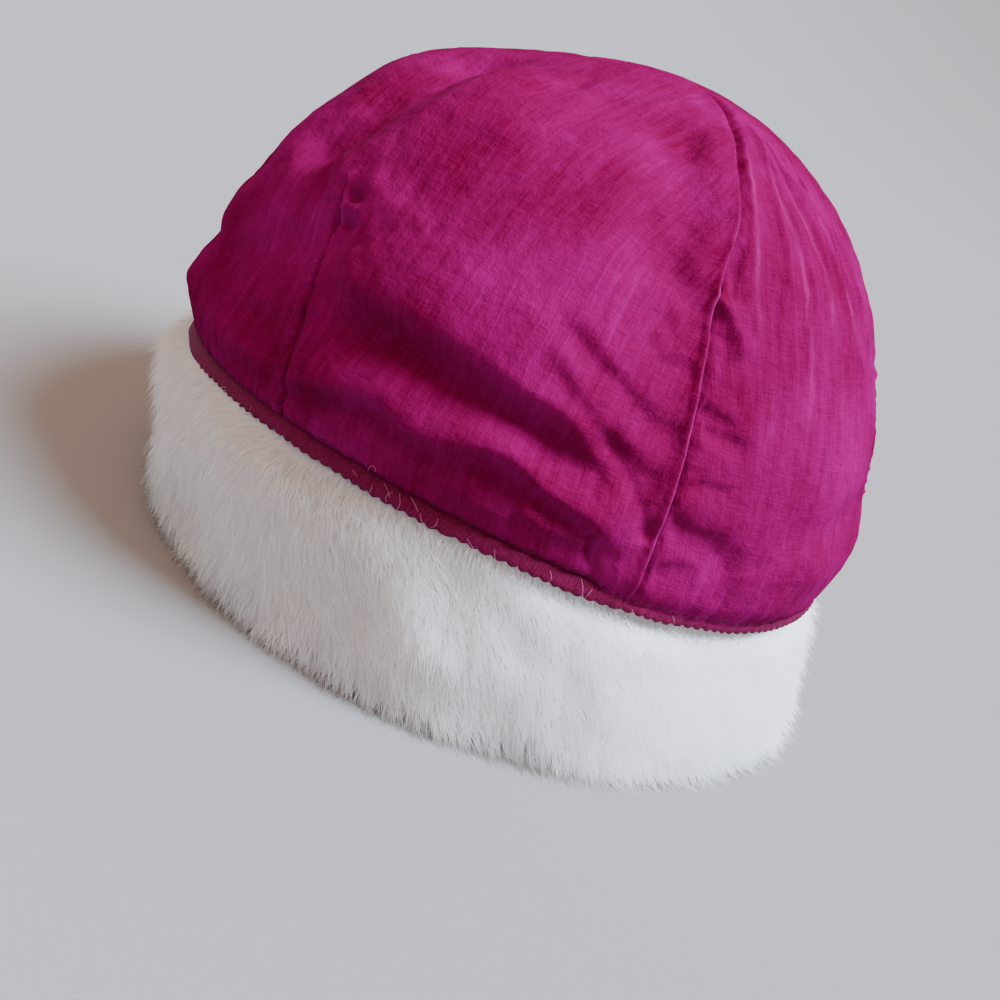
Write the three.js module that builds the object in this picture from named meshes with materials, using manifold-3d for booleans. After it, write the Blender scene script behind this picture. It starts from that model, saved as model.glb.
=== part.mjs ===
// A winter hat: a crown sewn from two cloth halves, over a thick fur rim, with a narrow overlocked
// edging where the two are sewn together. Each half has two darts that run up from its lower edge.
// Millimetres, +Z up. The hat stands on its rim at Z = 0, its front faces -Y, the wearer's left is +X.
// A bearing is the angle round the hat: 0 at the front, 90 at the wearer's left, 180 at the back.
// A climb is the share of the way along the cloth from the crown's lower edge, 0, to its top, 1.

import * as THREE from "three";
import { mergeVertices } from "three/addons/utils/BufferGeometryUtils.js";
import Module from "manifold-3d";

const wasm = await Module();
wasm.setup();

// Crown
const crownWidth = 202; // side to side where it is fullest
const crownLength = 215; // front to back where it is fullest
const crownHeight = 107; // lower edge to top
const clothWall = 1.6; // taffeta with its backing
const crownSway = 8; // how far the top sits towards the right of the back
const seamGap = 0.3; // between the two halves
const fitGap = 0.3; // between pieces that touch
const leanBearing = 247; // the side to which the crown's top sways and the rim's foot leans
const seamDepth = 1.1; // how far the cloth dips into the middle seam
const seamSpread = 3.2; // how far to each side of it
const dartDepth = 1.8; // the same for a dart
const dartSpread = 3.6;
const foldDepth = 4.2; // the deepest fold
const foldSpread = 8.5; // from the middle of a fold to its side
const panelSwell = 2.4; // how far the cloth puffs out between seams and darts

// Fur rim
const bandWidth = 202; // side to side outside, without the locks
const bandLength = 215.5; // front to back outside
const bandHeight = 45; // floor to the edging's lower edge, on average
const bandWall = 14.5; // thickness of the pile and its backing
const bandTuck = 6.5; // how far the rim goes up inside the crown
const topWall = 9; // thickness of the tucked part
const bandLean = 6; // how far the foot stands to one side of the crown
const footWidth = 7.5; // the flat that it stands on
const hemWave = 5.2; // how far the sewn line rises and falls round the hat
const lockLength = 23;
const lockWidth = 13;
const lockThickness = 6.2;
const lockClear = 0.6; // least height of a lock's tip above the floor

// Edging
const edgingHeight = 4.4;
const edgingWall = 2.2;

const quarterSteps = 12; // steps of bearing on a quarter of the crown, before those at the darts
const crownRows = 18;
const ringSteps = 60;
const lockSides = 5;

// The crown's outline: reach as a share of its half width, height as a share of its height.
const crownOutline = [
  { reach: 0.97, height: 0 },
  { reach: 0.993, height: 0.07 },
  { reach: 1.0, height: 0.15 },
  { reach: 0.975, height: 0.3 },
  { reach: 0.9, height: 0.49 },
  { reach: 0.775, height: 0.675 },
  { reach: 0.612, height: 0.82 },
  { reach: 0.365, height: 0.93 },
  { reach: 0.15, height: 0.985 },
  { reach: 0, height: 1 },
];

// Darts: where each starts at the lower edge and where it ends, pinched, in the cloth.
const darts = [
  { foot: 123, tip: 117, climb: 0.39 },
  { foot: 58, tip: 62, climb: 0.37 },
  { foot: 239, tip: 243, climb: 0.38 },
  { foot: 303, tip: 299, climb: 0.39 },
];

// Folds in the cloth: from one place to another, bowed up by a share of the crown's length,
// spread and depth as shares of foldSpread and foldDepth. A depth below 0 is a valley.
const folds = [
  { from: [126, 0.21], to: [167, 0.17], bow: 0.045, spread: 0.8, depth: -1.0 },
  { from: [124, 0.14], to: [172, 0.12], bow: 0.03, spread: 0.85, depth: 0.75 },
  { from: [127, 0.06], to: [174, 0.08], bow: 0.03, spread: 0.7, depth: -0.75 },
  { from: [150, 0.26], to: [172, 0.21], bow: 0.01, spread: 0.7, depth: 0.4 },
  { from: [158, 0.3], to: [178, 0.25], bow: 0.0, spread: 0.6, depth: -0.35 },
  { from: [163, 0.19], to: [177, 0.12], bow: 0.01, spread: 0.55, depth: 0.4 },
  { from: [181, 0.46], to: [189, 0.38], bow: 0.0, spread: 0.6, depth: 0.3 },
  { from: [181, 0.29], to: [190, 0.24], bow: 0.0, spread: 0.6, depth: -0.35 },
  { from: [182, 0.13], to: [193, 0.1], bow: 0.0, spread: 0.7, depth: -0.45 },
  { from: [106, 0.22], to: [92, 0.12], bow: 0.0, spread: 1.5, depth: -0.8 },
  { from: [111, 0.38], to: [100, 0.72], bow: 0.0, spread: 1.3, depth: 0.55 },
  { from: [101, 0.46], to: [90, 0.76], bow: 0.0, spread: 1.1, depth: -0.65 },
  { from: [76, 0.3], to: [90, 0.3], bow: 0.0, spread: 1.0, depth: -0.4 },
  { from: [72, 0.17], to: [90, 0.16], bow: 0.0, spread: 0.9, depth: -0.5 },
  { from: [70, 0.09], to: [94, 0.07], bow: 0.0, spread: 0.9, depth: 0.5 },
  { from: [120, 0.66], to: [76, 0.82], bow: 0.03, spread: 0.8, depth: -0.45 },
  { from: [8, 0.2], to: [50, 0.16], bow: 0.04, spread: 0.9, depth: -0.7 },
  { from: [12, 0.11], to: [52, 0.09], bow: 0.02, spread: 0.9, depth: 0.5 },
  { from: [30, 0.36], to: [22, 0.66], bow: 0.0, spread: 1.2, depth: -0.35 },
  { from: [198, 0.15], to: [234, 0.19], bow: 0.03, spread: 0.9, depth: -0.5 },
  { from: [200, 0.07], to: [236, 0.1], bow: 0.02, spread: 0.9, depth: 0.5 },
  { from: [208, 0.12], to: [216, 0.72], bow: 0.0, spread: 1.0, depth: 0.25 },
  { from: [222, 0.4], to: [228, 0.74], bow: 0.0, spread: 1.1, depth: -0.35 },
  { from: [252, 0.22], to: [292, 0.18], bow: 0.04, spread: 0.9, depth: -0.85 },
  { from: [250, 0.13], to: [294, 0.11], bow: 0.03, spread: 0.9, depth: 0.6 },
  { from: [262, 0.42], to: [272, 0.74], bow: 0.0, spread: 1.2, depth: -0.4 },
  { from: [310, 0.17], to: [350, 0.21], bow: 0.03, spread: 0.9, depth: -0.65 },
  { from: [308, 0.09], to: [352, 0.11], bow: 0.02, spread: 0.9, depth: 0.5 },
  { from: [330, 0.4], to: [322, 0.7], bow: 0.0, spread: 1.1, depth: 0.3 },
];

// The fur rim's outer face, from the floor up: inset and lean as shares of the wall and of bandLean,
// height as a share of the height of the sewn line.
const bandOutline = [
  { inset: 0.36, height: 0, lean: 1 },
  { inset: 0.14, height: 0.07, lean: 0.88 },
  { inset: 0.02, height: 0.24, lean: 0.6 },
  { inset: 0, height: 0.46, lean: 0.25 },
  { inset: 0.02, height: 0.68, lean: -0.2 },
  { inset: 0.12, height: 0.84, lean: -0.4 },
  { inset: 0.3, height: 0.94, lean: -0.45 },
];

// Rows of fur locks on the rim: height of the root as a share of the sewn line's height,
// length as a share of lockLength, lift as degrees away from the surface.
const lockRows = [
  { root: 0.86, length: 0.9, lift: 5, count: 29, turn: 0 },
  { root: 0.62, length: 1.0, lift: 5, count: 29, turn: 0.5 },
  { root: 0.38, length: 0.75, lift: 6, count: 28, turn: 0.2 },
];

const radians = THREE.MathUtils.degToRad;
const smooth = THREE.MathUtils.smoothstep;

// Height of the edging's lower edge at a bearing.
function hemLine(bearing) {
  return bandHeight - hemWave * Math.sin(2 * radians(bearing));
}

// A point at a reach along X and Y at a bearing, at a height.
function place(bearing, reachX, reachY, height) {
  const turn = radians(bearing);
  return new THREE.Vector3(reachX * Math.sin(turn), -reachY * Math.cos(turn), height);
}

// Signed difference of two bearings, from -180 to 180.
function apart(bearing, other) {
  return THREE.MathUtils.euclideanModulo(bearing - other + 180, 360) - 180;
}

const meanReach = (crownWidth + crownLength) / 4;
const outlineCurve = new THREE.SplineCurve(
  crownOutline.map((row) => new THREE.Vector2(row.reach * meanReach, row.height * crownHeight)),
);
const clothLength = outlineCurve.getLength();

// How far a straight or bowed line from one place on the cloth to another is from a place.
function lineDistance(line, bearing, climb, reach) {
  const across = radians(apart(line.to[0], line.from[0])) * reach;
  const along = (line.to[1] - line.from[1]) * clothLength;
  const x = radians(apart(bearing, line.from[0])) * reach;
  const raw = (x * across + (climb - line.from[1]) * clothLength * along) / (across ** 2 + along ** 2);
  const share = THREE.MathUtils.clamp(raw, 0, 1);
  const lift = line.bow * 4 * share * (1 - share);
  const y = (climb - line.from[1] - lift) * clothLength;
  return Math.hypot(x - share * across, y - share * along);
}

const bell = (distance, spread) => Math.exp(-((distance / spread) ** 2));

// How far the cloth stands out from its plain outline.
function clothRelief(bearing, climb, reach) {
  const nearHem = smooth(climb, 0.02, 0.09);
  const nearTop = 1 - smooth(climb, 0.86, 0.99);
  let relief = 0;
  for (const fold of folds) {
    const distance = lineDistance(fold, bearing, climb, reach);
    relief += fold.depth * foldDepth * bell(distance, fold.spread * foldSpread);
  }
  const panel = Math.sin(radians(3 * bearing)) ** 2;
  relief += panelSwell * (panel - 0.5) * (1 - smooth(climb, 0.3, 0.7));
  for (const dart of darts) {
    const line = { from: [dart.foot, 0], to: [dart.tip, dart.climb], bow: 0 };
    relief -= dartDepth * bell(lineDistance(line, bearing, climb, reach), dartSpread);
  }
  relief *= nearHem;
  const fromSeam = Math.abs(Math.sin(radians(bearing))) * reach;
  return (relief - seamDepth * bell(fromSeam, seamSpread) * smooth(climb, 0, 0.06)) * nearTop;
}

// A point of the crown, on its outer face or sunk into the wall.
function crownPoint(bearing, climb, sunk) {
  const crownFoot = bandHeight + edgingHeight + fitGap;
  if (climb === 1) return new THREE.Vector3(0, 0, crownFoot + crownHeight - sunk);
  const spot = outlineCurve.getPointAt(climb);
  const run = outlineCurve.getTangentAt(climb);
  const shift = clothRelief(bearing, climb, spot.x) - sunk;
  const reach = (half) => spot.x * (half / meanReach) + run.y * shift;
  const wave = (hemLine(bearing) - bandHeight) * (1 - smooth(climb, 0, 0.8));
  const height = crownFoot + wave + spot.y - run.x * shift;
  return place(bearing, reach(crownWidth / 2), reach(crownLength / 2), height);
}

function indexed(points, triangles) {
  const geometry = new THREE.BufferGeometry().setFromPoints(points);
  geometry.setIndex(triangles.flat());
  geometry.computeVertexNormals();
  return geometry;
}

// Bearings of the crown's columns between two seams: even steps, and close ones at each dart and seam.
function columnsOf(start) {
  const step = 90 / quarterSteps;
  const even = Array.from({ length: 2 * quarterSteps + 1 }, (_, i) => start + i * step);
  const close = [start + 1.8, start + 178.2];
  const kept = even.filter((bearing) => darts.every((dart) => Math.abs(bearing - dart.foot) > step / 2));
  for (const dart of darts.filter((d) => d.foot > start && d.foot < start + 180))
    close.push(dart.foot - 2.4, dart.foot, dart.foot + 2.4);
  return [...kept, ...close].sort((a, b) => a - b);
}

// One half of the crown: outer and inner faces that meet at the top, its lower edge and its seam edge.
function crownHalf(start, side) {
  const columns = columnsOf(start);
  const across = columns.length;
  const points = [];
  const addPoint = (bearing, climb, sunk) => {
    const point = crownPoint(bearing, climb, sunk);
    point.x = side * Math.max(side * point.x, seamGap / 2);
    const sway = crownSway * smooth(climb, 0.55, 0.9);
    return points.push(point.add(place(leanBearing, sway, sway, 0))) - 1;
  };
  for (const sunk of [0, clothWall])
    for (let j = 0; j < crownRows; j++)
      for (const bearing of columns) {
        const climb = (j / crownRows) ** 1.45;
        const dart = darts.find((d) => Math.abs(bearing - d.foot) < 2.5);
        const lean = dart ? (dart.tip - dart.foot) * Math.min(climb / dart.climb, 1) : 0;
        addPoint(bearing + lean, climb, sunk);
      }
  const topOut = addPoint(start, 1, 0);
  const topIn = addPoint(start, 1, clothWall);
  const out = (i, j) => (j < crownRows ? j * across + i : topOut);
  const inn = (i, j) => (j < crownRows ? (crownRows + j) * across + i : topIn);
  const triangles = [];
  const quad = (a, b, c, d) => triangles.push([a, b, c], [a, c, d]);
  for (let i = 0; i < across - 1; i++) {
    quad(out(i, 0), inn(i, 0), inn(i + 1, 0), out(i + 1, 0));
    for (let j = 0; j < crownRows - 1; j++) {
      quad(out(i, j), out(i + 1, j), out(i + 1, j + 1), out(i, j + 1));
      quad(inn(i, j), inn(i, j + 1), inn(i + 1, j + 1), inn(i + 1, j));
    }
    triangles.push([out(i, crownRows - 1), out(i + 1, crownRows - 1), topOut]);
    triangles.push([inn(i, crownRows - 1), topIn, inn(i + 1, crownRows - 1)]);
  }
  for (let j = 0; j < crownRows; j++) {
    quad(out(0, j), out(0, j + 1), inn(0, j + 1), inn(0, j));
    quad(inn(across - 1, j), inn(across - 1, j + 1), out(across - 1, j + 1), out(across - 1, j));
  }
  return indexed(points, triangles);
}

// A ring whose section, a closed list of points, is given at each bearing.
// The section runs up its outer face, in across its top and down its inner face.
function ring(sectionAt) {
  const sections = Array.from({ length: ringSteps }, (_, i) => sectionAt((360 * i) / ringSteps));
  const size = sections[0].length;
  const index = (i, k) => (i % ringSteps) * size + (k % size);
  const triangles = [];
  for (let i = 0; i < ringSteps; i++)
    for (let k = 0; k < size; k++) {
      const corners = [index(i, k), index(i + 1, k), index(i + 1, k + 1), index(i, k + 1)];
      triangles.push([corners[0], corners[1], corners[2]], [corners[0], corners[2], corners[3]]);
    }
  return indexed(sections.flat(), triangles);
}

// What sits under the crown's lower edge takes its reach from that edge.
const hemReach = crownOutline[0].reach;
const neckInset = clothWall + fitGap;
const neckX = (hemReach * crownWidth) / 2 - neckInset;
const neckY = (hemReach * crownLength) / 2 - neckInset;

// A point of the fur rim's outer face, at a row of bandOutline, pushed out by some millimetres.
function bandPoint(bearing, row, push = 0) {
  const inset = row.inset * bandWall - push;
  const point = place(bearing, bandWidth / 2 - inset, bandLength / 2 - inset, row.height * hemLine(bearing));
  return point.add(place(leanBearing, row.lean * bandLean, row.lean * bandLean, 0));
}

function bandSection(bearing) {
  const hem = hemLine(bearing);
  const top = hem + edgingHeight + bandTuck;
  const innerX = neckX - topWall;
  const innerY = neckY - topWall;
  const foot = bandOutline[0];
  const footInset = foot.inset + footWidth / bandWall;
  return [
    ...bandOutline.map((row) => bandPoint(bearing, row)),
    place(bearing, neckX, neckY, hem - fitGap),
    place(bearing, neckX, neckY, top - 1.5),
    place(bearing, neckX - 1.5, neckY - 1.5, top),
    place(bearing, innerX + 1.5, innerY + 1.5, top),
    place(bearing, innerX, innerY, top - 2),
    bandPoint(bearing, { inset: 1, height: 0.7, lean: -0.1 }),
    bandPoint(bearing, { inset: 1, height: 0.35, lean: 0.4 }),
    bandPoint(bearing, { inset: (1 + footInset) / 2, height: 0.09, lean: 0.8 }),
    bandPoint(bearing, { inset: footInset, height: 0, lean: foot.lean }),
  ];
}

function edgingSection(bearing) {
  const low = hemLine(bearing);
  const high = low + edgingHeight;
  const innerX = neckX + fitGap;
  const innerY = neckY + fitGap;
  const at = (share, height) => place(bearing, innerX + share * edgingWall, innerY + share * edgingWall, height);
  return [at(0.8, low), at(1, low + 0.4 * edgingHeight), at(0.8, high), at(0, high), at(0, low)];
}

// The rim's outer face at any height, between the rows of its outline.
function bandFace(bearing, height, push) {
  const rows = bandOutline;
  const upper = Math.max(1, rows.findIndex((row) => row.height >= height));
  const [a, b] = [rows[upper - 1], rows[upper]];
  const share = (height - a.height) / (b.height - a.height);
  const mix = (key) => THREE.MathUtils.lerp(a[key], b[key], share);
  return bandPoint(bearing, { inset: mix("inset"), height, lean: mix("lean") }, push);
}

// A lock of fur: a flat spindle from a root sunk in the rim to a tip that lies lower and a little out.
const lockShape = [
  [0, 0],
  [0.4, 0.2],
  [0.5, 0.42],
  [0.28, 0.76],
  [0, 1],
].map(([reach, share]) => new THREE.Vector2(reach, share));

function weld(geometry) {
  geometry.deleteAttribute("normal");
  geometry.deleteAttribute("uv");
  const merged = mergeVertices(geometry, 1e-3);
  const corners = merged.index.array;
  const kept = [];
  for (let i = 0; i < corners.length; i += 3) {
    const [a, b, c] = corners.slice(i, i + 3);
    if (a !== b && b !== c && c !== a) kept.push(a, b, c);
  }
  merged.setIndex(kept);
  return merged;
}

function lockGeometry(bearing, row, unevenness) {
  const length = lockLength * row.length * (1 + 0.22 * unevenness);
  const hem = hemLine(bearing);
  const root = bandFace(bearing, row.root, -0.38 * lockThickness);
  const drop = Math.min(length * 0.97, root.z - lockClear);
  const endShare = Math.max(0, row.root - drop / hem);
  const end = bandFace(bearing + 2.5 * unevenness, endShare, length * Math.sin(radians(row.lift)));
  end.z = Math.max(end.z, lockClear);
  const axis = end.clone().sub(root);
  const side = place(bearing + 90, 1, 1, 0);
  const outward = new THREE.Vector3().crossVectors(side, axis).normalize();
  const across = new THREE.Vector3().crossVectors(axis, outward).normalize();
  const basis = new THREE.Matrix4().makeBasis(
    across.multiplyScalar(lockWidth),
    axis,
    outward.multiplyScalar(lockThickness),
  );
  const spindle = new THREE.LatheGeometry(lockShape, lockSides);
  spindle.applyMatrix4(basis.setPosition(root));
  return weld(spindle);
}

function solidOf(geometry) {
  const solid = new wasm.Manifold(
    new wasm.Mesh({
      numProp: 3,
      vertProperties: new Float32Array(geometry.attributes.position.array),
      triVerts: new Uint32Array(geometry.index.array),
    }),
  );
  if (solid.volume() < 0) throw new Error("a solid is inside out");
  return solid;
}

function geometryOf(solid) {
  const mesh = solid.getMesh();
  const geometry = new THREE.BufferGeometry();
  geometry.setAttribute("position", new THREE.BufferAttribute(mesh.vertProperties, 3));
  geometry.setIndex(new THREE.BufferAttribute(mesh.triVerts, 1));
  geometry.computeVertexNormals();
  return geometry;
}

// The fur rim: a soft ring with rows of overlapping locks fused to its outer face.
function furBand() {
  let solid = solidOf(ring(bandSection));
  for (const row of lockRows)
    for (let i = 0; i < row.count; i++) {
      const unevenness = Math.sin(i * 12.9 + row.root * 78.2);
      const bearing = (360 * (i + row.turn + 0.2 * unevenness)) / row.count;
      solid = solid.add(solidOf(lockGeometry(bearing, row, unevenness)));
    }
  return geometryOf(solid);
}

const taffeta = new THREE.MeshStandardMaterial({ color: 0xa81a68, roughness: 0.5, metalness: 0 });
const overlock = new THREE.MeshStandardMaterial({ color: 0x931552, roughness: 0.65, metalness: 0 });
const whiteFur = new THREE.MeshStandardMaterial({ color: 0xf0efea, roughness: 0.9, metalness: 0 });

function piece(name, geometry, material) {
  const mesh = new THREE.Mesh(geometry, material);
  mesh.name = name;
  return mesh;
}

const hat = new THREE.Group();
hat.add(
  piece("crown_left", crownHalf(0, 1), taffeta),
  piece("crown_right", crownHalf(180, -1), taffeta),
  piece("hem_edging", ring(edgingSection), overlock),
  piece("fur_band", furBand(), whiteFur),
);

export default hat;
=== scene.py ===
import math
import bpy
import numpy as np
from mathutils import Matrix, Vector


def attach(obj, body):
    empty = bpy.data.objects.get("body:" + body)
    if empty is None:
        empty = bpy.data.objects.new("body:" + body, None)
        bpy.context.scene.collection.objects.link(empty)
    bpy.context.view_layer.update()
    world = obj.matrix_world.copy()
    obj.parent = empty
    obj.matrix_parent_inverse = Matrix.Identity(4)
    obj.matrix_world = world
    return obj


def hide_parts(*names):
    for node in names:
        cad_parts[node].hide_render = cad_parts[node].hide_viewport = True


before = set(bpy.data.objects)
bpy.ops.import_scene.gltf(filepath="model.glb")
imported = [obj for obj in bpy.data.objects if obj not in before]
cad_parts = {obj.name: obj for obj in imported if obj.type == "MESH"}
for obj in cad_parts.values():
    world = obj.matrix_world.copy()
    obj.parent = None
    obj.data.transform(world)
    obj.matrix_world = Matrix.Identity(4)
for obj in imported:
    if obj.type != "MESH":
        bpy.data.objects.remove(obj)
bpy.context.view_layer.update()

mm = 0.001

# bearing: the angle round the hat in degrees, 0 at the front, 90 at the hat's left, 180 at the back
# climb: the share of the way up the cloth, 0 at the crown's lower edge and 1 at its top

photoView = {
    "place": (152.3, 370.3, 176.2),      # millimetres
    "right": (-0.90651, 0.23878, 0.34817),
    "up": (0.21338, -0.45247, 0.86587),
    "lens": 50.4,
}


def addObject(name, data):
    made = bpy.data.objects.new(name, data)
    bpy.context.collection.objects.link(made)
    return made


def addCamera():
    right, up = Vector(photoView["right"]), Vector(photoView["up"])
    turn = Matrix((right, up, right.cross(up))).transposed().to_4x4()
    data = bpy.data.cameras.new("photoCamera")
    data.lens = photoView["lens"]
    data.clip_start = 0.01
    camera = addObject("photoCamera", data)
    camera.matrix_world = Matrix.Translation(Vector(photoView["place"]) * mm) @ turn
    bpy.context.scene.camera = camera


addCamera()
print("camera placed")


# small tools for rows of numbers

def smooth(x, low, high):
    t = np.clip((x - low) / (high - low), 0, 1)
    return t * t * (3 - 2 * t)


def bell(distance, spread):
    return np.exp(-((distance / spread) ** 2))


def wrap(degrees):
    return (degrees + 180) % 360 - 180


# whole-number multipliers that scatter the corners of the noise's cells
scatter = (73856093, 19349663, 83492791)
seedScatter, mixUp, mixAgain = 2654435, 1103515245, 69069
positive = 0x7fffffff


# smooth noise, mostly from -1 to 1, at points in millimetres
def softNoise(points, scale, seed):
    p = points / np.asarray(scale, float) + 17.3 * seed
    cell = np.floor(p).astype(np.int64)
    f = p - cell
    w = f * f * f * (f * (f * 6 - 15) + 10)
    total = np.zeros(len(p))
    for dx in (0, 1):
        for dy in (0, 1):
            for dz in (0, 1):
                corner = (cell + (dx, dy, dz)) * scatter
                key = corner[:, 0] ^ corner[:, 1] ^ corner[:, 2]
                key = (key ^ (seed * seedScatter)) & positive
                key = (key * mixUp + 12345) & positive
                key = ((key >> 11) ^ key) * mixAgain & positive
                value = ((key >> 8) & 0xffff) / 32767.5 - 1
                side = (w[:, 0] if dx else 1 - w[:, 0]) * (w[:, 1] if dy else 1 - w[:, 1])
                total += value * side * (w[:, 2] if dz else 1 - w[:, 2])
    return total * 1.5


# thin raised lines where the noise crosses zero
def creaseNoise(points, scale, seed):
    return 0.5 - np.minimum(np.abs(softNoise(points, scale, seed)) * 2.2, 1)


def meshFrom(name, vertices, faces, uv=None):
    mesh = bpy.data.meshes.new(name)
    faces = np.asarray(faces)
    size = faces.shape[1]
    mesh.vertices.add(len(vertices))
    mesh.vertices.foreach_set("co", (np.asarray(vertices) * mm).astype(np.float32).ravel())
    mesh.loops.add(faces.size)
    mesh.loops.foreach_set("vertex_index", faces.astype(np.int32).ravel())
    mesh.polygons.add(len(faces))
    mesh.polygons.foreach_set("loop_start", np.arange(0, faces.size, size, dtype=np.int32))
    mesh.polygons.foreach_set("use_smooth", np.full(len(faces), True))
    if uv is not None:
        layer = mesh.uv_layers.new(name="along")
        layer.data.foreach_set("uv", np.asarray(uv, np.float32)[faces.ravel()].ravel())
    mesh.update(calc_edges=True)
    mesh.validate()
    return addObject(name, mesh)


# points round a level ellipse, each at its own bearing and height
def ellipse(bearing, reachX, reachY, height):
    turn = np.radians(bearing)
    return np.stack([reachX * np.sin(turn), -reachY * np.cos(turn), height], 1)


leanBearing = math.radians(247)          # the hat leans to its right and a little back


def leanAway(points, amount):
    points[:, 0] += amount * math.sin(leanBearing)
    points[:, 1] -= amount * math.cos(leanBearing)
    return points


# a smooth line through rows of points, even steps between the rows
def lineThrough(rows, steps):
    rows = np.asarray(rows, float)
    padded = np.vstack([rows[:1], rows, rows[-1:]])
    t = np.linspace(0, len(rows) - 1, steps)
    i = np.minimum(t.astype(int), len(rows) - 2)
    f = (t - i)[:, None]
    p0, p1, p2, p3 = (padded[i + k] for k in range(4))
    v0, v1 = (p2 - p0) / 2, (p3 - p1) / 2
    return (2 * p1 - 2 * p2 + v0 + v1) * f**3 + (3 * p2 - 3 * p1 - 2 * v0 - v1) * f**2 + v0 * f + p1


# the crown's shape

crown = {
    "width": 202, "length": 215, "height": 108.4,
    "foot": 48.0,
    "hem": 45, "hemWave": 5.2,           # the height of the sewn line, and how far it rises and dips
    "sway": 8,                           # how far the top leans
    "seamShift": 5,                      # how far the seam bends to the right higher up
    "wall": 1.8, "swell": 2.4,
    "columns": 300, "rows": 180,
    "warp": 1.5, "crinkle": 0.4, "fineCrinkle": 0.14, "slump": 0.5,
    "sag": 1.7,                          # right of the seam, at the lower edge
    "gather": 0.36, "gatherStep": 8.2,   # small gathers along the lower edge
    "turnIn": 1.4,                       # the cloth turns in to its sewn line
}

crownOutline = [                         # reach and height as shares
    (0.97, 0), (0.993, 0.07), (1.0, 0.15), (0.975, 0.3), (0.9, 0.49),
    (0.775, 0.675), (0.612, 0.82), (0.365, 0.93), (0.15, 0.985), (0, 1),
]

# a fold of the cloth: its depth in millimetres, below zero for a valley, its widths on the side above
# its way and on the side below it, and the places (bearing, climb) that it runs through
def fold(depth, above, below, *way):
    return {"depth": depth, "above": above, "below": below, "way": way}


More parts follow.
